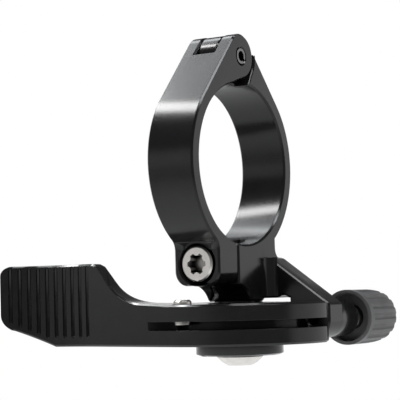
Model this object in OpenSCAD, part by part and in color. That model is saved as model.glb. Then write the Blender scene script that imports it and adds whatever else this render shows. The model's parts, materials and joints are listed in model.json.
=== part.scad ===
// Dropper post remote lever with a hinged handlebar clamp.
// Origin at the centre of the clamp bore, X along the handlebar, Y forward, Z up, in millimetres.

/* [Handlebar clamp] */
// Diameter of the handlebar that the clamp holds
bar_d = 31.8; // [30:0.1:35]
// Width of the clamp along the bar
ring_w = 10.3; // [9:0.1:12]
// Wall of the clamp ring
ring_wall = 2.7; // [2.2:0.1:3.2]
// Hinge pin centre above the bore wall
hinge_rise = 5.3; // [5.1:0.1:6]
// Radius of the hinge ears
ear_r = 4.4; // [4:0.1:4.7]
// Width of the hinge knuckle between the ears
knuckle_w = 4.3; // [3.6:0.1:5]
// Diameter of the hollow hinge pin
pin_d = 3.1; // [2.5:0.1:3.6]
// Wall of the hollow hinge pin
pin_wall = 0.55; // [0.4:0.05:0.8]
// Width of the slot along the hinge pin
pin_slot = 0.7; // [0.4:0.1:1]

/* [Clamp lug and bolt] */
// Plane of the lower split, measured forward from the bar axis
split_y = -3.2; // [-4:0.1:-2.6]
// Gap left at the lower split
split_gap = 0.3; // [0.2:0.1:0.6]
// Thickness of the strap's lug
lug_t = 6.75; // [6:0.05:7]
// Depth of the lug below the bore wall
lug_drop = 7.8; // [7.2:0.1:8.4]
// Radius of the lug's lower corners
lug_corner_r = 2.8; // [1:0.1:3]
// Blend between the strap's ring and its lug
lug_fillet = 2.5; // [1:0.1:4]
// Bolt axis below the bore wall
bolt_drop = 3.6; // [3.4:0.1:3.8]
// Thread diameter of the clamp bolt
bolt_d = 4; // [3.5:0.1:4.2]
// Diameter of the clamp bolt's head
bolt_head_d = 7; // [6.6:0.1:7.2]
// Height of the clamp bolt's head
bolt_head_h = 4; // [3:0.1:4.2]
// Length of the clamp bolt under its head
bolt_len = 8; // [7.6:0.1:8.2]
// Width across the points of the six lobe sockets
star_d = 4.1; // [3.4:0.1:4.4]
// Depth of the six lobe sockets
star_depth = 2.1; // [1.5:0.1:2.5]

/* [Bracket] */
// Pivot axis forward of the bar axis
pivot_y = 4.8; // [4.6:0.1:5.4]
// Foot of the bracket below the bore wall
foot_drop = 11; // [10.6:0.1:12]
// Radius of the scoop under the front of the neck
scoop_r = 6.4; // [5.5:0.1:7]
// Back of the neck, forward of the bar axis
neck_back = 11.35; // [11:0.05:12]
// Front face of the cable stop plate
plate_y = 8.1; // [7.9:0.1:8.6]
// Thickness of the cable stop plate
plate_t = 5.6; // [5:0.1:6.5]
// Top of the plate below the bore wall
plate_drop = 2.5; // [2:0.1:3]
// Slope of the plate's top edge, in degrees
plate_slope = 35.5; // [33:0.5:37]
// Blend between the neck and the plate
plate_fillet = 2.1; // [1:0.1:2.6]
// Height of the underside of the plate above the foot
plate_lift = 0.45; // [0.3:0.05:1]
// Radius of the relief where the plate meets its leg
relief_round = 1.5; // [1.2:0.1:1.8]
// Inner side of the plate's hanging leg
leg_x = 9.8; // [9.6:0.1:10.4]
// Radius of the round end of the leg
leg_r = 3.85; // [3.75:0.05:4.1]
// Radius of the threaded cable boss
boss_r = 3.65; // [3.3:0.05:3.7]
// Length of the threaded cable boss
boss_len = 7.2; // [5:0.1:8]

/* [Lever] */
// Radius of the cable rim about the pivot
rim_r = 19; // [18.6:0.1:20]
// Direction of the arm's front face, in degrees
arm_angle = 9; // [6:0.5:12]
// Length of the straight arm
arm_len = 22.5; // [21:0.5:26]
// Gap between the bracket's foot and the lever
lever_gap = 0.3; // [0.2:0.05:0.6]
// Thickness of the body of the lever
lever_h = 8; // [7.8:0.1:8.4]
// Start of the gentle rise of the arm's top, from the pivot axis
saddle_x = 4.5; // [3:0.1:6]
// Height of that rise at the foot of the shoulder
saddle_rise = 0.7; // [0.2:0.05:1]
// Radius of the hub
hub_r = 8.7; // [8.2:0.1:9]
// Depth of the hub boss under the lever
hub_drop = 2.35; // [2.1:0.05:2.6]
// Gap between the lever and the plate when it rests
stop_gap = 1.05; // [0.5:0.05:1.4]
// Width of the cable slot
slot_w = 1.7; // [1.4:0.1:2]
// Middle of the cable slot below the lever's top
slot_drop = 4.05; // [3.8:0.05:4.3]
// Height of the cable stop above the middle of the slot
stop_rise = 0.4; // [0:0.05:0.5]
// Clearance between the cable slot's floor and the cable axis
slot_floor = 0.8; // [0.7:0.1:1]
// End of the cable slot along the rim, in degrees
slot_end = 119; // [112:1:122]
// Small chamfer under the hub
hub_chamfer = 0.35; // [0.2:0.05:0.8]
// Where the back of the arm starts to widen into the hub
swell_x = 18.5; // [16:0.5:20]

/* [Thumb paddle] */
// Hollow radius of the thumb face
pad_r = 25; // [22:0.5:30]
// Thickness of the paddle
pad_t = 3; // [2.8:0.1:4]
// Rise of the paddle above the lever's top
pad_rise = 8.5; // [7:0.05:10]
// Left end of the paddle from the pivot axis
pad_end = 44.5; // [42:0.1:46]
// Slope of the shoulder between the paddle and the arm
shoulder_slope = 46.5; // [42:0.5:52]
// Where the shoulder meets the lever's top, from the pivot axis
shoulder_x = 16.7; // [15:0.1:18]
// Blend at the foot of the shoulder
shoulder_blend = 12; // [6:0.5:14]
// Slope of the cut under the paddle's end
undercut_slope = 23; // [15:1:30]
// Start of the cut under the paddle's end, from the pivot axis
undercut_x = 34.4; // [30:0.1:38]
// Number of grip grooves
grooves = 10; // [6:1:10]
// Spacing of the grip grooves along the thumb face
groove_pitch = 1.93; // [1.8:0.01:2]
// Radius of the grip grooves
groove_r = 0.42; // [0.3:0.01:0.5]

/* [Pivot bearings] */
// Outer diameter of a bearing
brg_od = 12; // [11:0.5:12.5]
// Bore of a bearing
brg_id = 6; // [5:0.5:6]
// Width of a bearing
brg_w = 4; // [3.6:0.1:4]
// Ball diameter
ball_d = 1.588; // [1.4:0.001:1.6]
// Number of balls
balls = 9; // [6:1:10]
// Depth of each bearing below the hub's face
brg_recess = 0.25; // [0.2:0.05:0.4]
// Radius of the spacer's flange
spacer_r = 4.8; // [4.4:0.1:5]
// Thread diameter of the pivot bolt
pivot_thread_d = 4; // [3.5:0.1:4.2]
// Radius of the pivot bolt's domed head
dome_r = 4.6; // [4.4:0.1:5]
// Height of the pivot bolt's domed head
dome_h = 1.7; // [1.4:0.1:2.4]

/* [Cable anchor and adjuster] */
// Diameter of the cable anchor screw
anchor_d = 3.5; // [3:0.1:4]
// Place of the anchor screw along the rim, in degrees
anchor_angle = 101.5; // [98:0.5:108]
// Height of the anchor screw above the lever
anchor_up = 0.9; // [0.3:0.05:1.5]
// Radius of the adjuster knob
knob_r = 5.6; // [5.4:0.05:5.8]
// Length of the adjuster knob
knob_len = 13.6; // [12:0.1:15]
// Round of the knob's far edge
knob_round = 1.6; // [1:0.1:2.5]
// Length of the smooth collar on the knob
collar_len = 1.5; // [1:0.1:3]
// Gap between the boss and the knob
knob_gap = 1.7; // [1:0.1:3]
// Number of flutes around the knob
flutes = 16; // [12:1:20]
// Depth of the flutes
flute_depth = 0.4; // [0.2:0.05:0.6]
// Diameter of the adjuster's threaded stud
stud_d = 5; // [4.5:0.1:5.2]
// Diameter of the socket for the cable housing's end cap
ferrule_d = 6.1; // [5.8:0.1:6.4]
// Diameter of the cable's own passage
cable_hole_d = 2.2; // [2:0.1:2.6]

/* [Hidden] */

// Clearances
fit = 0.01;          // parts pressed or held still in a hole
run = 0.05;          // parts that turn or slide in a hole
side = 0.1;          // side play of the hinge knuckle
over = 1;            // how far a cutter passes the face that it opens

// Clamp, worked out from the bar
bar_r = bar_d / 2;
ring_r = bar_r + ring_wall;
half_w = ring_w / 2;
hinge_z = bar_r + hinge_rise;
pin_r = pin_d / 2;
lug_z = -bar_r - lug_drop;
lug_y = split_y - split_gap / 2 - lug_t;
strap_face = split_y - split_gap / 2;
bracket_face = split_y + split_gap / 2;
bolt_z = -bar_r - bolt_drop;
seat_y = lug_y + bolt_head_h - 0.1;
strap_hole_r = bolt_d / 2 + 0.35;
counterbore_r = bolt_head_d / 2 + 0.45;
relief_r = ear_r + 0.55;
pocket_r = ear_r + 1.05;
outer_tangent = asin((ring_r - ear_r) / hinge_z);
inner_tangent = acos((bar_r + ear_r) / hinge_z);

// Bracket and pivot stack
foot_z = -bar_r - foot_drop;
plate_top = -bar_r - plate_drop;
plate_under = foot_z + plate_lift;
lever_top = foot_z - lever_gap;
lever_bottom = lever_top - lever_h;
hub_bottom = lever_bottom - hub_drop;
upper_brg = lever_top - brg_recess;
lower_brg = hub_bottom + brg_recess + brg_w;
web_top = upper_brg - brg_w;
race_t = (brg_od - brg_id) / 7.5;
track_r = (brg_id + brg_od) / 4;
pivot_hole_r = 1.65;
thread_top = bolt_z - bolt_d / 2 - 0.6;
slot_z = lever_top - slot_drop;
cable_z = slot_z + stop_rise;
cable_x = rim_r - 4.2;

// Lever outline in plan
stop_y = plate_y - stop_gap;
slot_r = cable_x - slot_floor;
arm_dir = [-cos(arm_angle), sin(arm_angle)];
arm_out = [-sin(arm_angle), -cos(arm_angle)];
pivot = [0, pivot_y];
arm_root = pivot + rim_r * arm_out;
arm_tip = arm_root + arm_len * arm_dir;
pad_centre = arm_tip + pad_r * arm_out;
back_dist = rim_r - pad_t;
back_r = (swell_x ^ 2 + back_dist ^ 2 - hub_r ^ 2) / (2 * (hub_r + back_dist));
back_centre = pivot + swell_x * arm_dir + (back_dist - back_r) * arm_out;
pad_top = lever_top + pad_rise;

// Adjuster
boss_end = plate_y + plate_t + boss_len;
knob_y = boss_end + knob_gap;
knob_end = knob_y + knob_len;
cavity_r = knob_r - 0.7;
cavity_depth = 2.5;
stud_tip = boss_end - 6;
stud_top = knob_end - 6.4;

function unit(v) = v / norm(v);
function polar(r, a) = [r * cos(a), r * sin(a)];

// The bit between a sharp corner at p and a round of radius r, towards a and b
module corner_piece(p, a, b, r) {
    u = unit(a - p);
    v = unit(b - p);
    half = acos(u * v) / 2;
    reach = r / tan(half);
    difference() {
        polygon([p - unit(u + v) * 0.5, p + u * reach, p + v * reach]);
        translate(p + unit(u + v) * r / sin(half)) circle(r = r, $fn = 64);
    }
}

// Turns a drawing of Y and Z into a solid along X, centred on X = 0
module along_x(w) {
    rotate([90, 0, 90]) translate([0, 0, -w / 2]) linear_extrude(w) children();
}

// Turns a drawing of X and Z into a solid from y0 to y1
module along_y(y0, y1) {
    translate([0, y1, 0]) rotate([90, 0, 0]) linear_extrude(y1 - y0) children();
}

// Round bar from y0 to y1 at a place in X and Z
module bar_y(x, z, r, y0, y1, sides = 64) {
    translate([x, y0, z]) rotate([-90, 0, 0]) cylinder(r = r, h = y1 - y0, $fn = sides);
}

// Round bar from z0 to z1 at a place in X and Y
module bar_z(p, r, z0, z1, sides = 64) {
    translate([p.x, p.y, z0]) cylinder(r = r, h = z1 - z0, $fn = sides);
}

// Six lobe driver socket, drawn flat
module star() {
    difference() {
        circle(d = star_d, $fn = 48);
        for (i = [0:5]) rotate(i * 60 + 30) translate([star_d * 0.57, 0]) circle(r = star_d * 0.18, $fn = 24);
    }
}

// Outside of one clamp half in Y and Z, before the bore is cut
module half_outline(dir, lower) {
    mirror([dir > 0 ? 0 : 1, 0]) {
        intersection() {
            circle(r = ring_r, $fn = 180);
            translate([0, -ring_r]) square([ring_r, 2 * ring_r]);
        }
        polygon([[0, 0], polar(ring_r, outer_tangent),
            [0, hinge_z] + polar(lower, outer_tangent), [0, hinge_z]]);
    }
}

// Middle knuckle and body of the bracket's ring in Y and Z
module bracket_ring() {
    difference() {
        union() {
            half_outline(1, ear_r - 0.1);
            translate([0, hinge_z]) circle(r = ear_r - 0.1, $fn = 96);
            polygon([[bracket_face, 0], [bracket_face, -ring_r], [0, -ring_r], [0, 0]]);
        }
        circle(r = bar_r, $fn = 180);
        translate([-ring_r, -ring_r]) square([ring_r + bracket_face, 2 * ring_r + hinge_rise - ear_r]);
    }
}

// What the ears of the strap need clear beside the knuckle
module ear_relief() {
    start = [0, hinge_z] + polar(relief_r, -30);
    translate([0, hinge_z]) circle(r = relief_r, $fn = 96);
    polygon([[0, hinge_z], start, start + polar(5, -120), [-ring_r, 0], [-ring_r, hinge_z]]);
}

// Lower neck of the bracket in Y and Z
module neck_outline() {
    scoop = [bracket_face - 1, lug_z - scoop_r + 0.1];
    fillet_c = [neck_back + 2, plate_top + 2];
    difference() {
        union() {
            polygon([[bracket_face, -bar_r * 0.6], [bracket_face, foot_z], [neck_back, foot_z],
                [neck_back, -sqrt(ring_r ^ 2 - neck_back ^ 2)], [neck_back, -bar_r * 0.6]]);
            translate([neck_back - 3, plate_under]) square([plate_y + plate_t - neck_back + 3, plate_top - plate_under]);
            difference() {
                translate([neck_back, plate_top]) square([2, 2]);
                translate(fillet_c) circle(r = 2, $fn = 48);
            }
        }
        circle(r = bar_r, $fn = 180);
        translate([neck_back - 1, -ring_r * 0.7]) square([5, 10]);
        translate(scoop) circle(r = scoop_r, $fn = 96);
        translate([scoop.x - scoop_r, foot_z - 1]) square([scoop_r, scoop_r]);
    }
}

// Outline of the plate that carries the cable boss, in X and Z
module plate_outline() {
    slope_start = half_w + 0.35;
    slope_dir = [cos(plate_slope), -sin(plate_slope)];
    slope_out = [sin(plate_slope), cos(plate_slope)];
    boss = [cable_x, cable_z];
    edge_x = cable_x + leg_r;
    edge_z = plate_top - (edge_x - slope_start) * tan(plate_slope);
    leg_top = [leg_x, plate_under];
    difference() {
        union() {
            polygon([[-half_w, plate_top], [slope_start, plate_top], [edge_x, edge_z],
                [edge_x, cable_z], boss, boss + polar(leg_r, 215), [leg_x, cable_z + 1.5], leg_top,
                [-half_w, plate_under]]);
            translate(boss) circle(r = leg_r, $fn = 96);
        }
        corner_piece([edge_x, edge_z], [slope_start, plate_top], [edge_x, cable_z], 1.2);
        translate(leg_top - [0.97, 0.67] * relief_round) circle(r = relief_round, $fn = 64);
    }
}

// Bracket that holds the bar, the lever's pivot and the cable
module base_bracket() color([0.09, 0.09, 0.10]) {
    difference() {
        union() {
            difference() {
                along_x(ring_w) bracket_ring();
                for (s = [-1, 1]) translate([s * (knuckle_w + ring_w) / 2, 0, 0]) along_x(ring_w) ear_relief();
            }
            difference() {
                along_x(ring_w) neck_outline();
                // the back of the foot is round under the plate
                translate([0, 0, foot_z - over]) difference() {
                    translate([-ring_w, pivot_y, 0]) cube([2 * ring_w, 10, plate_lift + over]);
                    translate([0, pivot_y, 0]) cylinder(r = half_w, h = plate_lift + over, $fn = 96);
                }
            }
            along_y(plate_y, plate_y + plate_t) plate_outline();
            // blend between the neck's side and the plate's face
            translate([0, 0, plate_under]) linear_extrude(plate_top - plate_under)
                corner_piece([half_w, plate_y], [half_w, 0], [ring_w * 2, plate_y], plate_fillet);
            bar_y(cable_x, cable_z, boss_r, plate_y + plate_t - 0.5, boss_end, 96);
        }
        // hinge pin
        rotate([0, 90, 0]) translate([-hinge_z, 0, -ring_w]) cylinder(r = pin_r + fit, h = 2 * ring_w, $fn = 48);
        // threaded hole for the clamp bolt
        bar_y(0, bolt_z, bolt_d / 2, bracket_face - over, bracket_face + bolt_len + 0.4 - (bracket_face - seat_y));
        // threaded hole for the pivot bolt, and its drill hole up into the bore
        bar_z(pivot, pivot_thread_d / 2, foot_z - over, thread_top + 0.4);
        bar_z(pivot, pivot_hole_r, foot_z, 0);
        // cable passage and adjuster thread
        bar_y(cable_x, cable_z, cable_hole_d / 2, plate_y - over, boss_end);
        bar_y(cable_x, cable_z, stud_d / 2, stud_tip - 1, boss_end + over);
    }
}

// Ear, ring and lug of the strap in Y and Z
module strap_outline() {
    ring_pull = ring_r + lug_fillet;
    blend = [lug_y - lug_fillet, -sqrt(ring_pull ^ 2 - (lug_y - lug_fillet) ^ 2)];
    bite = 0.1;
    difference() {
        union() {
            half_outline(-1, ear_r);
            translate([0, hinge_z]) circle(r = ear_r, $fn = 96);
            polygon([[0, hinge_z], [0, hinge_z] + polar(ear_r - 0.5, -60 + inner_tangent),
                polar(bar_r - 1, 90 + inner_tangent), [-ring_r * 0.5, bar_r]]);
            translate([lug_y, lug_z]) square([lug_t, -lug_z - bar_r * 0.6]);
            difference() {
                polygon([unit(blend) * ring_r, [lug_y, blend.y], [lug_y + 1, -bar_r]]);
                translate(blend) circle(r = lug_fillet, $fn = 64);
            }
        }
        circle(r = bar_r, $fn = 180);
        // keep what lies behind the split and under the ear's lower edge
        translate([strap_face, lug_z - over]) square([ring_r * 2, hinge_z]);
        polygon([[0, 0], polar(bar_r - bite, 90 + inner_tangent),
            [0, hinge_z] + polar(ear_r - bite, -90 + inner_tangent), [ear_r, hinge_z - ear_r], [ear_r, 0]]);
    }
}

// Outline of the strap in X and Z, with its lug corners rounded
module strap_front() {
    difference() {
        translate([-half_w, lug_z]) square([ring_w, hinge_z + ear_r - lug_z + over]);
        for (s = [-1, 1]) corner_piece([s * half_w, lug_z], [0, lug_z], [s * half_w, 0], lug_corner_r);
    }
}

// Hinged half of the clamp
module clamp_strap() color([0.09, 0.09, 0.10]) {
    difference() {
        intersection() {
            along_x(ring_w) strap_outline();
            along_y(-ring_r - over, ear_r + over) strap_front();
        }
        // pocket for the knuckle
        rotate([0, 90, 0]) translate([-hinge_z, 0, -knuckle_w / 2 - side])
            cylinder(r = pocket_r, h = knuckle_w + 2 * side, $fn = 96);
        rotate([0, 90, 0]) translate([-hinge_z, 0, -ring_w]) cylinder(r = pin_r + run, h = 2 * ring_w, $fn = 48);
        // bolt hole and the counterbore for its head
        bar_y(0, bolt_z, strap_hole_r, lug_y - over, 0);
        bar_y(0, bolt_z, counterbore_r, lug_y - over, seat_y);
    }
}

// Hollow slotted pin of the hinge
module hinge_pin() color([0.75, 0.74, 0.72]) {
    rotate([90, 0, 90]) translate([0, hinge_z, -half_w]) linear_extrude(ring_w) difference() {
        circle(r = pin_r, $fn = 48);
        circle(r = pin_r - pin_wall, $fn = 48);
        rotate(-40) translate([0, -pin_slot / 2]) square([pin_d, pin_slot]);
    }
}

// Clamp bolt with a six lobe socket
module clamp_bolt() color([0.82, 0.80, 0.76]) {
    head_y = seat_y - bolt_head_h;
    edge = 0.35;
    difference() {
        union() {
            bar_y(0, bolt_z, bolt_head_d / 2, head_y + edge, seat_y, 96);
            translate([0, head_y, bolt_z]) rotate([-90, 0, 0])
                cylinder(r1 = bolt_head_d / 2 - edge, r2 = bolt_head_d / 2, h = edge, $fn = 96);
            bar_y(0, bolt_z, bolt_d / 2 - run, seat_y - 0.5, seat_y + bolt_len);
        }
        along_y(head_y - over, head_y + star_depth) translate([0, bolt_z]) star();
    }
}

// Lever cut from a flat blank, before its side outline is cut
module lever_blank(h) {
    lap = 0.5 * arm_dir;
    bite = 0.02;
    difference() {
        union() {
            // rim, hub and stop face
            linear_extrude(h) intersection() {
                translate(pivot) circle(r = rim_r, $fn = 240);
                polygon([pivot + lap, arm_root + rim_r * arm_out + lap, pivot + [rim_r * 2, -rim_r * 2],
                    [rim_r * 2, stop_y], [0, stop_y]]);
            }
            translate([0, pivot_y, 0]) cylinder(r = hub_r, h = h, $fn = 120);
            // straight arm
            linear_extrude(h) polygon([pivot, arm_root, arm_tip + lap, arm_tip + lap - pad_t * 0.8 * arm_out,
                arm_tip - pad_t * arm_out, back_centre + back_r * arm_out, back_centre]);
        }
        translate([back_centre.x, back_centre.y, -over]) cylinder(r = back_r + bite, h = h + 2 * over, $fn = 180);
    }
    // hollow thumb paddle
    linear_extrude(h) intersection() {
        difference() {
            translate(pad_centre) circle(r = pad_r + pad_t, $fn = 240);
            translate(pad_centre) circle(r = pad_r, $fn = 240);
        }
        polygon([pad_centre, pad_centre - 2 * pad_r * arm_out, pad_centre + polar(3 * pad_r, 140)]);
    }
}

// Lever's blank with its side outline cut, seen in X and Z
module lever_body() {
    y0 = -rim_r - pad_r;
    y1 = rim_r + pad_r;
    far = pad_end + rim_r;
    saddle = [-saddle_x, lever_top];
    shoulder_low = [-shoulder_x, lever_top + saddle_rise];
    shoulder_high = [-shoulder_x - (pad_rise - saddle_rise) / tan(shoulder_slope), pad_top];
    top_left = [-pad_end, pad_top];
    cut_low = [-undercut_x, lever_bottom];
    cut_high = [-pad_end, lever_bottom + (pad_end - undercut_x) * tan(undercut_slope)];
    difference() {
        difference() {
            translate([0, 0, lever_bottom]) lever_blank(pad_top - lever_bottom);
            // all above the arm and the shoulder
            difference() {
                along_y(y0, y1) polygon([shoulder_low, saddle, [far, lever_top], [far, pad_top + 2 * over],
                    shoulder_high + polar(2 * over / sin(shoulder_slope), 180 - shoulder_slope)]);
                along_y(y0 - over, y1 + over)
                    corner_piece(shoulder_low, saddle, shoulder_high, shoulder_blend);
            }
            // past the paddle's end, and the cut under it
            along_y(y0, y1) translate([-far, lever_bottom - over])
                square([far - pad_end, pad_rise + lever_h + 3 * over]);
            along_y(y0, y1) polygon([cut_low + polar(2, -undercut_slope), cut_low - polar(20, -undercut_slope),
                [-far, lever_bottom - 2], [cut_low.x, lever_bottom - 2]]);
        }
        along_y(y0, y1) corner_piece(top_left, shoulder_high, cut_high, 2);
        along_y(y0, y1) corner_piece(shoulder_high, top_left, shoulder_low, 2.5);
        along_y(y0, y1) corner_piece(cut_high, top_left, cut_low, 3.5);
    }
}

// Grooves down the thumb face, each with a pointed end
module grip_grooves() {
    step = groove_pitch / pad_r * 180 / PI;
    face = 90 - arm_angle;
    tip_r = groove_r / 4;
    high = pad_top - 0.8;
    for (i = [0:grooves - 1]) {
        p = pad_centre + polar(pad_r, face + 2.5 + i * step);
        slant = lever_bottom + (-p.x - undercut_x) * tan(undercut_slope) + 1.5;
        low = max(lever_bottom + 2.1, slant);
        bar_z(p, groove_r, low, high, 24);
        translate([p.x, p.y, low - groove_r]) cylinder(r1 = tip_r, r2 = groove_r, h = groove_r, $fn = 24);
        translate([p.x, p.y, high]) cylinder(r1 = groove_r, r2 = tip_r, h = groove_r, $fn = 24);
    }
}

// Lever with its hub, cable rim and thumb paddle
module lever() color([0.06, 0.06, 0.07]) {
    anchor = pivot + polar(slot_r + anchor_d / 2, -anchor_angle);
    difference() {
        difference() {
            union() {
                lever_body();
                bar_z(pivot, hub_r, hub_bottom + hub_chamfer, lever_bottom + 1, 120);
                translate([0, pivot_y, hub_bottom])
                    cylinder(r1 = hub_r - hub_chamfer, r2 = hub_r, h = hub_chamfer, $fn = 120);
            }
            // seats of the two bearings, with a web between them
            bar_z(pivot, brg_od / 2, web_top, lever_top + over, 96);
            bar_z(pivot, brg_od / 2, hub_bottom - over, lower_brg, 96);
            bar_z(pivot, brg_od / 2 - 1, hub_bottom, lever_top, 96);
        }
        // cable slot around the rim
        translate([0, 0, slot_z - slot_w / 2]) linear_extrude(slot_w) difference() {
            translate(pivot) polygon([[0, 0], polar(rim_r * 3, -slot_end), polar(rim_r * 3, -60), polar(rim_r * 3, 20)]);
            translate(pivot) circle(r = slot_r, $fn = 180);
        }
        bar_z(anchor, anchor_d / 2, slot_z, lever_top + over);
        grip_grooves();
    }
}

// Spacer between the foot and the upper inner ring
module pivot_spacer() color([0.3, 0.3, 0.31]) {
    difference() {
        union() {
            bar_z(pivot, spacer_r, upper_brg + run, foot_z, 96);
            bar_z(pivot, brg_id / 2 + race_t, upper_brg, foot_z - lever_gap / 2);
        }
        bar_z(pivot, brg_id / 2, upper_brg - over, foot_z + over);
    }
}

// Sleeve between the two inner rings
module bearing_sleeve() color([0.6, 0.6, 0.6]) {
    difference() {
        bar_z(pivot, brg_id / 2 + race_t, lower_brg, web_top);
        bar_z(pivot, brg_id / 2, lower_brg - over, web_top + over);
    }
}

// Shoulder bolt that the lever turns on
module pivot_bolt() color([0.84, 0.83, 0.80]) {
    bearing_bottom = lower_brg - brg_w;
    head_top = hub_bottom - 0.3;
    flat_r = 2.4;
    sag = (dome_r ^ 2 - flat_r ^ 2 - dome_h ^ 2) / (2 * dome_h);
    ball_r = sqrt(dome_r ^ 2 + sag ^ 2);
    difference() {
        union() {
            bar_z(pivot, brg_id / 2 - fit, head_top, foot_z);
            bar_z(pivot, pivot_thread_d / 2 - run, foot_z - 1, thread_top);
            bar_z(pivot, brg_id / 2 + race_t, head_top - 0.2, bearing_bottom);
            intersection() {
                translate([0, pivot_y, head_top + sag]) sphere(r = ball_r, $fn = 96);
                bar_z(pivot, dome_r, head_top - dome_h, head_top, 96);
            }
        }
        translate([0, pivot_y, head_top - dome_h - over]) rotate(15) cylinder(d = 3.46, h = over + 2, $fn = 6);
    }
}

// Section of a bearing between two radii, with the ball's track cut in
module race(r0, r1, z) {
    translate([0, pivot_y, z - brg_w / 2]) rotate_extrude($fn = 96) difference() {
        translate([r0, -brg_w / 2]) square([r1 - r0, brg_w]);
        translate([track_r, 0]) circle(d = ball_d + 2 * run, $fn = 36);
    }
}

module outer_ring(z) color([0.7, 0.7, 0.7]) race(brg_od / 2 - race_t, brg_od / 2 - fit, z);
module inner_ring(z) color([0.7, 0.7, 0.7]) race(brg_id / 2, brg_id / 2 + race_t, z);

// Places of the balls of the bearing whose top is at z
module at_balls(z) {
    for (i = [0:balls - 1]) translate([0, pivot_y, z - brg_w / 2]) rotate(i * 360 / balls)
        translate([track_r, 0, 0]) children();
}

module ball_set(z) color([0.8, 0.8, 0.8]) at_balls(z) sphere(d = ball_d, $fn = 24);

// Cage that keeps the balls apart
module cage(z) color([0.5, 0.4, 0.3]) {
    half_t = (track_r - brg_id / 2 - race_t) / 2;
    difference() {
        translate([0, pivot_y, z - brg_w * 3 / 4]) difference() {
            cylinder(r = track_r + half_t, h = brg_w / 2, $fn = 96);
            translate([0, 0, -over]) cylinder(r = track_r - half_t, h = brg_w / 2 + 2 * over, $fn = 96);
        }
        at_balls(z) rotate([0, 90, 0]) translate([0, 0, -1]) cylinder(d = ball_d + 2 * run, h = 2, $fn = 24);
    }
}

// Two seals of one bearing, held by its outer ring
module seals(z) color([0.12, 0.12, 0.12]) {
    seal_t = 0.25;
    for (low = [z - 0.1 - seal_t, z - brg_w + 0.1]) translate([0, pivot_y, low]) difference() {
        cylinder(r = brg_od / 2 - race_t - fit, h = seal_t, $fn = 96);
        translate([0, 0, -over]) cylinder(r = brg_id / 2 + race_t + 0.1, h = seal_t + 2 * over, $fn = 96);
    }
}

module upper_outer_ring() outer_ring(upper_brg);
module upper_inner_ring() inner_ring(upper_brg);
module upper_balls() ball_set(upper_brg);
module upper_cage() cage(upper_brg);
module upper_seals() seals(upper_brg);
module lower_outer_ring() outer_ring(lower_brg);
module lower_inner_ring() inner_ring(lower_brg);
module lower_balls() ball_set(lower_brg);
module lower_cage() cage(lower_brg);
module lower_seals() seals(lower_brg);

// Screw that pins the cable's end in the slot
module cable_anchor_screw() color([0.8, 0.78, 0.75]) {
    anchor = pivot + polar(slot_r + anchor_d / 2, -anchor_angle);
    top = lever_top + anchor_up;
    edge = 0.35;
    difference() {
        union() {
            bar_z(anchor, anchor_d / 2 - fit, slot_z + slot_w / 2 - 0.3, top - edge);
            translate([anchor.x, anchor.y, top - edge])
                cylinder(r1 = anchor_d / 2 - fit, r2 = anchor_d / 2 - edge, h = edge, $fn = 64);
        }
        translate([anchor.x, anchor.y, top - 1.6]) cylinder(d = 2, h = 1.6 + over, $fn = 6);
    }
}

// Small washer between the screw and the cable
module cable_anchor_washer() color([0.8, 0.78, 0.75]) {
    anchor = pivot + polar(slot_r + anchor_d / 2, -anchor_angle);
    bar_z(anchor, anchor_d / 2 - 0.1, slot_z + slot_w / 2 - 0.7, slot_z + slot_w / 2 - 0.3);
}

// Fluted knob of the cable adjuster
module adjuster_knob() color([0.33, 0.33, 0.34]) {
    flute_r = 0.75;
    difference() {
        translate([cable_x, knob_y, cable_z]) rotate([-90, 0, 0]) difference() {
            rotate_extrude($fn = 144) union() {
                square([knob_r, knob_len - knob_round]);
                square([knob_r - knob_round, knob_len]);
                translate([knob_r - knob_round, knob_len - knob_round]) circle(r = knob_round, $fn = 48);
            }
            for (i = [0:flutes - 1]) rotate(i * 360 / flutes)
                translate([knob_r + flute_r - flute_depth, 0, collar_len]) cylinder(r = flute_r, h = knob_len, $fn = 24);
        }
        bar_y(cable_x, cable_z, cavity_r, knob_y - over, knob_y + cavity_depth, 96);
        bar_y(cable_x, cable_z, stud_d / 2, knob_y, stud_top);
        bar_y(cable_x, cable_z, cable_hole_d / 2, knob_y, knob_end);
        bar_y(cable_x, cable_z, ferrule_d / 2, stud_top + 0.4, knob_end + over);
    }
}

// Hollow threaded stud of the cable adjuster
module adjuster_stud() color([0.7, 0.69, 0.66]) {
    difference() {
        bar_y(cable_x, cable_z, stud_d / 2 - run, stud_tip, stud_top);
        bar_y(cable_x, cable_z, cable_hole_d / 2, stud_tip - over, stud_top + over);
    }
}

base_bracket();
clamp_strap();
hinge_pin();
clamp_bolt();
lever();
pivot_bolt();
pivot_spacer();
bearing_sleeve();
upper_outer_ring();
upper_inner_ring();
upper_balls();
upper_cage();
upper_seals();
lower_outer_ring();
lower_inner_ring();
lower_balls();
lower_cage();
lower_seals();
cable_anchor_screw();
cable_anchor_washer();
adjuster_knob();
adjuster_stud();
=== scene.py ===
import json
import math

import bmesh
import bpy
from mathutils import Matrix, Vector


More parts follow.
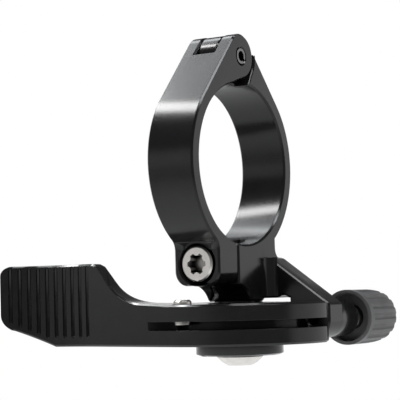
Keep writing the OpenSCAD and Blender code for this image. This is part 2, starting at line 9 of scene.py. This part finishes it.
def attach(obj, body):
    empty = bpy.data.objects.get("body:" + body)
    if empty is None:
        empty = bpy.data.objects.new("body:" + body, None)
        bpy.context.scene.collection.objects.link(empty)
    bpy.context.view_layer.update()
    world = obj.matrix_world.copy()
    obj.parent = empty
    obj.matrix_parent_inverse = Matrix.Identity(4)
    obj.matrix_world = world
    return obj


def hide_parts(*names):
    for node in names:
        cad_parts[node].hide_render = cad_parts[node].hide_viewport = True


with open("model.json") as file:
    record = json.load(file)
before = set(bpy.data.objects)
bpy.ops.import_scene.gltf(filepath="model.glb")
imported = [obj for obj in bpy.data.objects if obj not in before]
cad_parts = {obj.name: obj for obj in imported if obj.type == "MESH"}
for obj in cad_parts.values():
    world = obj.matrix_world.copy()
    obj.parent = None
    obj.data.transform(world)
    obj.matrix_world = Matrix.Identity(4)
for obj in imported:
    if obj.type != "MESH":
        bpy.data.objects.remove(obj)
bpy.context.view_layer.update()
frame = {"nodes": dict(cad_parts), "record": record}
NODES = frame["nodes"]
BODY = {n: b for b, ns in frame["record"]["behaviour"]["bodies"].items() for n in ns}
SLOT = {s["node"]: s["material_slot"] for s in frame["record"]["subparts"]}
scene = bpy.context.scene
MM = 0.001


def make_camera():
    az, el, roll = math.radians(32.88), math.radians(-3.43), math.radians(-1.56)
    place = Vector((156.721, -250.755, -24.495)) * MM
    look = Vector((-math.sin(az) * math.cos(el), math.cos(az) * math.cos(el), -math.sin(el)))
    right = Vector((math.cos(az), math.sin(az), 0))
    up = right.cross(look)
    right2 = right * math.cos(roll) + up * math.sin(roll)
    up2 = up * math.cos(roll) - right * math.sin(roll)
    data = bpy.data.cameras.new("camera")
    data.sensor_fit = "HORIZONTAL"
    data.sensor_width = 36
    data.lens = 1501.4 * 36 / 400
    data.clip_start, data.clip_end = 0.01, 20
    cam = bpy.data.objects.new("camera", data)
    scene.collection.objects.link(cam)
    cam.matrix_world = Matrix((
        (right2.x, up2.x, -look.x, place.x),
        (right2.y, up2.y, -look.y, place.y),
        (right2.z, up2.z, -look.z, place.z),
        (0, 0, 0, 1)))
    scene.camera = cam


class Mat:
    """A node material with small helpers to wire it."""

    def __init__(self, name):
        self.mat = bpy.data.materials.new(name)
        self.mat.use_nodes = True
        self.tree = self.mat.node_tree
        self.shader = self.tree.nodes["Principled BSDF"]
        self.coords = self.node("ShaderNodeTexCoord").outputs["Object"]

    def node(self, kind, **inputs):
        n = self.tree.nodes.new(kind)
        for k, v in inputs.items():
            n.inputs[k.replace("_", " ")].default_value = v
        return n

    def link(self, a, b):
        self.tree.links.new(a, b)

    def set(self, **values):
        for k, v in values.items():
            self.shader.inputs[k.replace("_", " ")].default_value = v

    def stretched(self, scale):
        m = self.node("ShaderNodeMapping", Scale=scale)
        self.link(self.coords, m.inputs["Vector"])
        return m.outputs["Vector"]

    def noise(self, scale, detail=3.0, rough=0.5, stretch=None):
        n = self.node("ShaderNodeTexNoise", Scale=scale, Detail=detail, Roughness=rough)
        self.link(self.stretched(stretch) if stretch else self.coords, n.inputs["Vector"])
        return n.outputs["Fac"]

    def ramp(self, fac, stops):
        r = self.node("ShaderNodeValToRGB")
        e = r.color_ramp.elements
        while len(e) < len(stops):
            e.new(0.5)
        for el, (at, c) in zip(e, stops):
            el.position = at
            el.color = (*c, 1) if isinstance(c, tuple) else (c, c, c, 1)
        self.link(fac, r.inputs["Fac"])
        return r.outputs["Color"]

    def mapped(self, fac, lo, hi, from_lo=0.3, from_hi=0.7):
        m = self.node("ShaderNodeMapRange")
        for k, v in zip(("From Min", "From Max", "To Min", "To Max"), (from_lo, from_hi, lo, hi)):
            m.inputs[k].default_value = v
        self.link(fac, m.inputs["Value"])
        return m.outputs["Result"]

    def crevice_shade(self, reach):
        """Ambient occlusion used as painted shade: 1 in the open, towards 0 deep inside holes and
        slots.
        """
        ao = self.tree.nodes.new("ShaderNodeAmbientOcclusion")
        ao.samples = 8
        ao.inputs["Distance"].default_value = reach * MM
        return ao.outputs["AO"]

    def kept_open(self, air, x):
        """The crevice value, but 1 wherever the X coordinate is under x millimetres."""
        split = self.node("ShaderNodeSeparateXYZ")
        self.link(self.coords, split.inputs[0])
        past = self.node("ShaderNodeMath")
        past.operation = "LESS_THAN"
        self.link(split.outputs["X"], past.inputs[0])
        past.inputs[1].default_value = x * MM
        most = self.node("ShaderNodeMath")
        most.operation = "MAXIMUM"
        self.link(air, most.inputs[0])
        self.link(past.outputs[0], most.inputs[1])
        return most.outputs[0]

    def bump(self, height, strength, distance, edge=0.0):
        """Fine relief, over edges broken by a radius of the given number of millimetres."""
        b = self.node("ShaderNodeBump", Strength=strength, Distance=distance)
        self.link(height, b.inputs["Height"])
        if edge:
            soft = self.node("ShaderNodeBevel", Radius=edge * MM)
            soft.samples = 8
            self.link(soft.outputs["Normal"], b.inputs["Normal"])
        self.link(b.outputs["Normal"], self.shader.inputs["Normal"])


def metal_black(name="anodised_black", reach=1.0, open_beyond=None):
    """Black anodised aluminium: fine machining grain under a clear hard skin."""
    m = Mat(name)
    m.set(Metallic=0.0)
    cloud = m.noise(420, 3)
    fine = m.noise(5200, 2)
    m.link(m.ramp(cloud, [(0.3, (0.0075, 0.0075, 0.0082)), (0.75, (0.0105, 0.0105, 0.0115))]),
           m.shader.inputs["Base Color"])
    m.link(m.mapped(fine, 0.15, 0.21), m.shader.inputs["Roughness"])
    # Painted shade: the specular level falls towards 0.02 inside holes and slots, so their walls
    # show no reflections.
    open_air = m.crevice_shade(reach)
    if open_beyond is not None:
        open_air = m.kept_open(open_air, open_beyond)
    m.link(m.mapped(open_air, 0.02, 0.37, 0.2, 0.5), m.shader.inputs["Specular IOR Level"])
    m.bump(m.noise(3500, 4, 0.6), 0.03, 0.00002, edge=0.12)
    return m.mat


def metal_steel(name, tint=(0.80, 0.775, 0.74), rough=(0.27, 0.33), thread=0.0, reach=3.0):
    """Turned stainless steel, lightly grained, with painted shade that turns it near black in its
    recesses.
    """
    m = Mat(name)
    m.set(Metallic=1.0)
    cloud = m.noise(700, 3)
    grain = m.noise(1500, 3, 0.6, stretch=(1, 1, 9))
    dark = tuple(c * 0.9 for c in tint)
    # Painted shade: the base colour is mixed towards near black where ambient occlusion finds
    # holes and sockets.
    shade = m.tree.nodes.new("ShaderNodeMix")
    shade.data_type = "RGBA"
    shade.inputs[6].default_value = (0.012, 0.011, 0.010, 1)
    m.link(m.mapped(m.crevice_shade(reach), 0, 1, 0.4, 0.75), shade.inputs[0])
    m.link(m.ramp(cloud, [(0.3, dark), (0.7, tint)]), shade.inputs[7])
    m.link(shade.outputs[2], m.shader.inputs["Base Color"])
    m.link(m.mapped(grain, *rough), m.shader.inputs["Roughness"])
    if thread:
        turns = m.tree.nodes.new("ShaderNodeTexWave")
        turns.wave_type, turns.bands_direction = "BANDS", "Y"
        turns.inputs["Scale"].default_value = 0.314159 / (thread * MM)
        m.link(m.coords, turns.inputs["Vector"])
        m.bump(turns.outputs["Fac"], 1.0, 0.0004)
    else:
        m.bump(grain, 0.03, 0.00002, edge=0.12)
    return m.mat


def plastic_grey(name="knob_moulding"):
    """Dark grey moulded nylon with a fine spark-eroded skin."""
    m = Mat(name)
    m.set(Specular_IOR_Level=0.5)
    cloud = m.noise(300, 4)
    skin = m.noise(6000, 2)
    m.link(m.ramp(cloud, [(0.3, (0.095, 0.095, 0.097)), (0.7, (0.125, 0.125, 0.128))]),
           m.shader.inputs["Base Color"])
    m.link(m.mapped(skin, 0.40, 0.55), m.shader.inputs["Roughness"])
    m.bump(skin, 0.2, 0.00003, edge=0.2)
    return m.mat


def plastic_cage():
    m = Mat("cage_moulding")
    m.link(m.ramp(m.noise(500, 3), [(0.3, (0.10, 0.06, 0.03)), (0.7, (0.14, 0.09, 0.05))]),
           m.shader.inputs["Base Color"])
    m.link(m.mapped(m.noise(3000), 0.45, 0.6), m.shader.inputs["Roughness"])
    return m.mat


def rubber_seal():
    m = Mat("seal_skin")
    m.link(m.ramp(m.noise(800, 3), [(0.3, 0.008), (0.7, 0.014)]), m.shader.inputs["Base Color"])
    m.link(m.mapped(m.noise(4000), 0.6, 0.8), m.shader.inputs["Roughness"])
    m.bump(m.noise(5000, 3), 0.2, 0.00003)
    return m.mat


MATERIALS = {
    "black_anodised": metal_black(),
    "stainless": metal_steel("turned_stainless"),
    "bearing_steel": metal_steel("ground_steel", (0.66, 0.66, 0.66), (0.12, 0.2)),
    "aluminium": metal_steel("plain_aluminium", (0.70, 0.69, 0.66), (0.28, 0.4)),
    "knob_plastic": plastic_grey(),
    "cage_plastic": plastic_cage(),
    "seal_rubber": rubber_seal(),
}


def paint(obj, mat):
    obj.data.materials.clear()
    obj.data.materials.append(mat)


def is_edge_to_break(edge, node):
    """Convex edges around large flat faces; the grooves and the sockets keep their own."""
    if len(edge.link_faces) != 2 or not edge.is_convex:
        return False
    a, b = edge.link_faces
    if a.normal.angle(b.normal) < math.radians(35):
        return False
    if max(a.calc_area(), b.calc_area()) < 12 * MM * MM:
        return False
    if node == "lever":
        along = (edge.verts[0].co - edge.verts[1].co).normalized()
        middle = (edge.verts[0].co + edge.verts[1].co) / 2 / MM
        if middle.x < -20:
            return (abs(along.z) < 0.5 and a.normal.angle(b.normal) > math.radians(45)
                    and min(a.calc_area(), b.calc_area()) > 0.1 * MM * MM)
        return middle.z > -27.4 or middle.z < -35.0
    return True


def rounder_end(bm, node):
    """The knob's far end drawn in along an oval, as a moulded grip is."""
    if node != "adjuster_knob":
        return
    near, far = 29.5 * MM, max(v.co.y for v in bm.verts)
    for i in range(1, 12):
        bmesh.ops.bisect_plane(bm, geom=bm.verts[:] + bm.edges[:] + bm.faces[:], dist=1e-6,
                               plane_co=(0, near + (far - near) * i / 12, 0), plane_no=(0, 1, 0))
    axis = Vector((14.8, 0, -30.85)) * MM
    for v in bm.verts:
        if v.co.y > near:
            k = math.sqrt(1 - (0.42 * (v.co.y - near) / (far - near)) ** 2)
            v.co.x = axis.x + (v.co.x - axis.x) * k
            v.co.z = axis.z + (v.co.z - axis.z) * k


def dressed(node, width):
    """The node's shape again, with flat faces joined and their outer edges chamfered."""
    bm = bmesh.new()
    bm.from_mesh(NODES[node].data)
    bmesh.ops.remove_doubles(bm, verts=bm.verts, dist=0.02 * MM)
    bmesh.ops.dissolve_degenerate(bm, edges=bm.edges, dist=0.01 * MM)
    bmesh.ops.dissolve_limit(bm, angle_limit=math.radians(1.0), verts=bm.verts, edges=bm.edges,
                             use_dissolve_boundaries=False)
    bm.normal_update()
    before = bm.calc_volume()
    rounder_end(bm, node)
    chosen = [e for e in bm.edges if width and is_edge_to_break(e, node)]
    bmesh.ops.bevel(bm, geom=chosen, offset=width * MM, offset_type="OFFSET", segments=1,
                    profile=0.5, affect="EDGES", clamp_overlap=False, loop_slide=True)
    print("DRESSED", node, len(chosen), "edges,", len(bm.faces), "faces, volume",
          round(before * 1e9, 1), "->", round(bm.calc_volume() * 1e9, 1))
    mesh = bpy.data.meshes.new(node + "_shape")
    bm.to_mesh(mesh)
    bm.free()
    obj = bpy.data.objects.new(node + "_finished", mesh)
    scene.collection.objects.link(obj)
    for p in mesh.polygons:
        p.use_smooth = True
    mesh.set_sharp_from_angle(angle=math.radians(25))
    paint(obj, MATERIALS[SLOT[node]])
    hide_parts(node)
    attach(obj, BODY[node])
    return obj


BROKEN_EDGES = {"base_bracket": 0.35, "clamp_strap": 0.35, "lever": 0.4, "adjuster_knob": 0}
THREADED = metal_steel("threaded_steel", thread=0.8)
SMALL = metal_steel("small_parts_steel", reach=0.6)
SOCKETED = metal_steel("socket_head_steel", reach=2.5)
SLOTTED = metal_black("anodised_black_slotted", reach=3.5, open_beyond=-20)
SPRING = metal_steel("dark_spring_steel", (0.24, 0.24, 0.24), (0.3, 0.4))
for name, obj in NODES.items():
    if name == "adjuster_stud":
        paint(obj, THREADED)
    elif name.startswith("cable_anchor"):
        paint(obj, SMALL)
    elif name == "clamp_bolt":
        paint(obj, SOCKETED)
    elif name == "hinge_pin":
        paint(obj, SPRING)
    elif name in BROKEN_EDGES:
        finished = dressed(name, BROKEN_EDGES[name])
        if name == "lever":
            paint(finished, SLOTTED)
    else:
        paint(obj, MATERIALS[SLOT[name]])


def lamp(name, place, size, power, tint=(1, 1, 1), aim=(0, 0, 0)):
    data = bpy.data.lights.new(name, "AREA")
    data.shape = "RECTANGLE"
    data.size, data.size_y = size
    data.energy = power
    data.color = tint
    obj = bpy.data.objects.new(name, data)
    scene.collection.objects.link(obj)
    obj.location = place
    obj.rotation_mode = "QUATERNION"
    obj.rotation_quaternion = (Vector(aim) - Vector(place)).to_track_quat("-Z", "Y")
    return obj


def brightness(t, vector, behind, front_left, front_right, ceiling=None):
    """White behind the object, dimmer in front and overhead, dimmest in front to the right."""
    split = t.nodes.new("ShaderNodeSeparateXYZ")
    t.links.new(vector, split.inputs[0])

    def ramp(axis, lo, hi, at_lo, at_hi):
        r = t.nodes.new("ShaderNodeMapRange")
        r.interpolation_type = "SMOOTHSTEP"
        for k, v in zip(("From Min", "From Max"), (lo, hi)):
            r.inputs[k].default_value = v
        for k, v in zip(("To Min", "To Max"), (at_lo, at_hi)):
            if isinstance(v, float):
                r.inputs[k].default_value = v
            else:
                t.links.new(v, r.inputs[k])
        t.links.new(split.outputs[axis], r.inputs["Value"])
        return r.outputs["Result"]

    front = ramp("X", -0.6, 0.4, front_left, front_right)
    level = ramp("Y", -0.05, 0.35, front, behind)
    return ramp("Z", 0.14, 0.34, level, ceiling) if ceiling else level


def ray_kinds(t):
    """1 for camera rays, and 1 for the glossy and transmitted rays."""
    path = t.nodes.new("ShaderNodeLightPath")
    other = t.nodes.new("ShaderNodeMath")
    other.operation = "MAXIMUM"
    t.links.new(path.outputs["Is Glossy Ray"], other.inputs[0])
    t.links.new(path.outputs["Is Transmission Ray"], other.inputs[1])
    return path.outputs["Is Camera Ray"], other.outputs[0]


def make_world():
    """White to the camera; reflections see the same backdrop and the dimmer room in front."""
    world = bpy.data.worlds.new("studio")
    scene.world = world
    world.use_nodes = True
    t = world.node_tree
    t.nodes.clear()
    out = t.nodes.new("ShaderNodeOutputWorld")
    camera, mirrored = ray_kinds(t)
    direction = t.nodes.new("ShaderNodeTexCoord").outputs["Generated"]
    room = t.nodes.new("ShaderNodeBackground")
    room.inputs["Color"].default_value = (0.3, 0.3, 0.3, 1)
    mirror = t.nodes.new("ShaderNodeBackground")
    t.links.new(brightness(t, direction, 1.0, 0.75, 0.24, 0.12), mirror.inputs["Color"])
    seen = t.nodes.new("ShaderNodeBackground")
    seen.inputs["Color"].default_value = (1, 1, 1, 1)
    first = t.nodes.new("ShaderNodeMixShader")
    t.links.new(mirrored, first.inputs[0])
    t.links.new(room.outputs[0], first.inputs[1])
    t.links.new(mirror.outputs[0], first.inputs[2])
    mix = t.nodes.new("ShaderNodeMixShader")
    t.links.new(camera, mix.inputs[0])
    t.links.new(first.outputs[0], mix.inputs[1])
    t.links.new(seen.outputs[0], mix.inputs[2])
    t.links.new(mix.outputs[0], out.inputs["Surface"])


def make_floor():
    bpy.ops.mesh.primitive_plane_add(size=12, location=(0, 0, -0.12))
    floor = bpy.context.object
    floor.name = "floor"
    m = Mat("pale_floor")
    t = m.tree
    m.shader.inputs["Base Color"].default_value = (0.86, 0.86, 0.86, 1)
    m.set(Roughness=0.8)
    camera, mirrored = ray_kinds(t)
    far = t.nodes.new("ShaderNodeVectorMath")
    far.operation = "LENGTH"
    m.link(m.coords, far.inputs[0])
    fade = m.mapped(far.outputs["Value"], 0, 1, 0.15, 0.7)
    seen = t.nodes.new("ShaderNodeMath")
    seen.operation = "MAXIMUM"
    m.link(camera, seen.inputs[0])
    m.link(mirrored, seen.inputs[1])
    both = t.nodes.new("ShaderNodeMath")
    both.operation = "MULTIPLY"
    m.link(seen.outputs[0], both.inputs[0])
    m.link(fade, both.inputs[1])
    level = t.nodes.new("ShaderNodeMapRange")
    level.inputs["To Max"].default_value = 1.0
    m.link(brightness(t, m.coords, 1.0, 0.5, 0.22), level.inputs["To Min"])
    m.link(camera, level.inputs["Value"])
    glow = t.nodes.new("ShaderNodeEmission")
    m.link(level.outputs["Result"], glow.inputs["Strength"])
    mix = t.nodes.new("ShaderNodeMixShader")
    m.link(both.outputs[0], mix.inputs[0])
    m.link(m.shader.outputs[0], mix.inputs[1])
    m.link(glow.outputs[0], mix.inputs[2])
    m.link(mix.outputs[0], t.nodes["Material Output"].inputs["Surface"])
    paint(floor, m.mat)


make_camera()
make_world()
make_floor()
COOL = (0.94, 0.975, 1.0)
lamp("overhead_box", (-0.33, 0.14, 0.50), (0.36, 0.30), 0.7, COOL)
lamp("overhead_strip", (-0.33, -0.145, 0.49), (0.44, 0.06), 1.9)
lamp("overhead_second_strip", (-0.34, 0.095, 0.49), (0.40, 0.045), 0.28, COOL)
lamp("overhead_top", (-0.02, 0.03, 0.52), (0.24, 0.10), 0.6)
lamp("overhead_right", (0.33, 0.0, 0.46), (0.16, 0.16), 0.9, COOL)
lamp("overhead_right_front", (0.15, -0.20, 0.46), (0.14, 0.14), 0.5)

scene.view_settings.view_transform = "Standard"
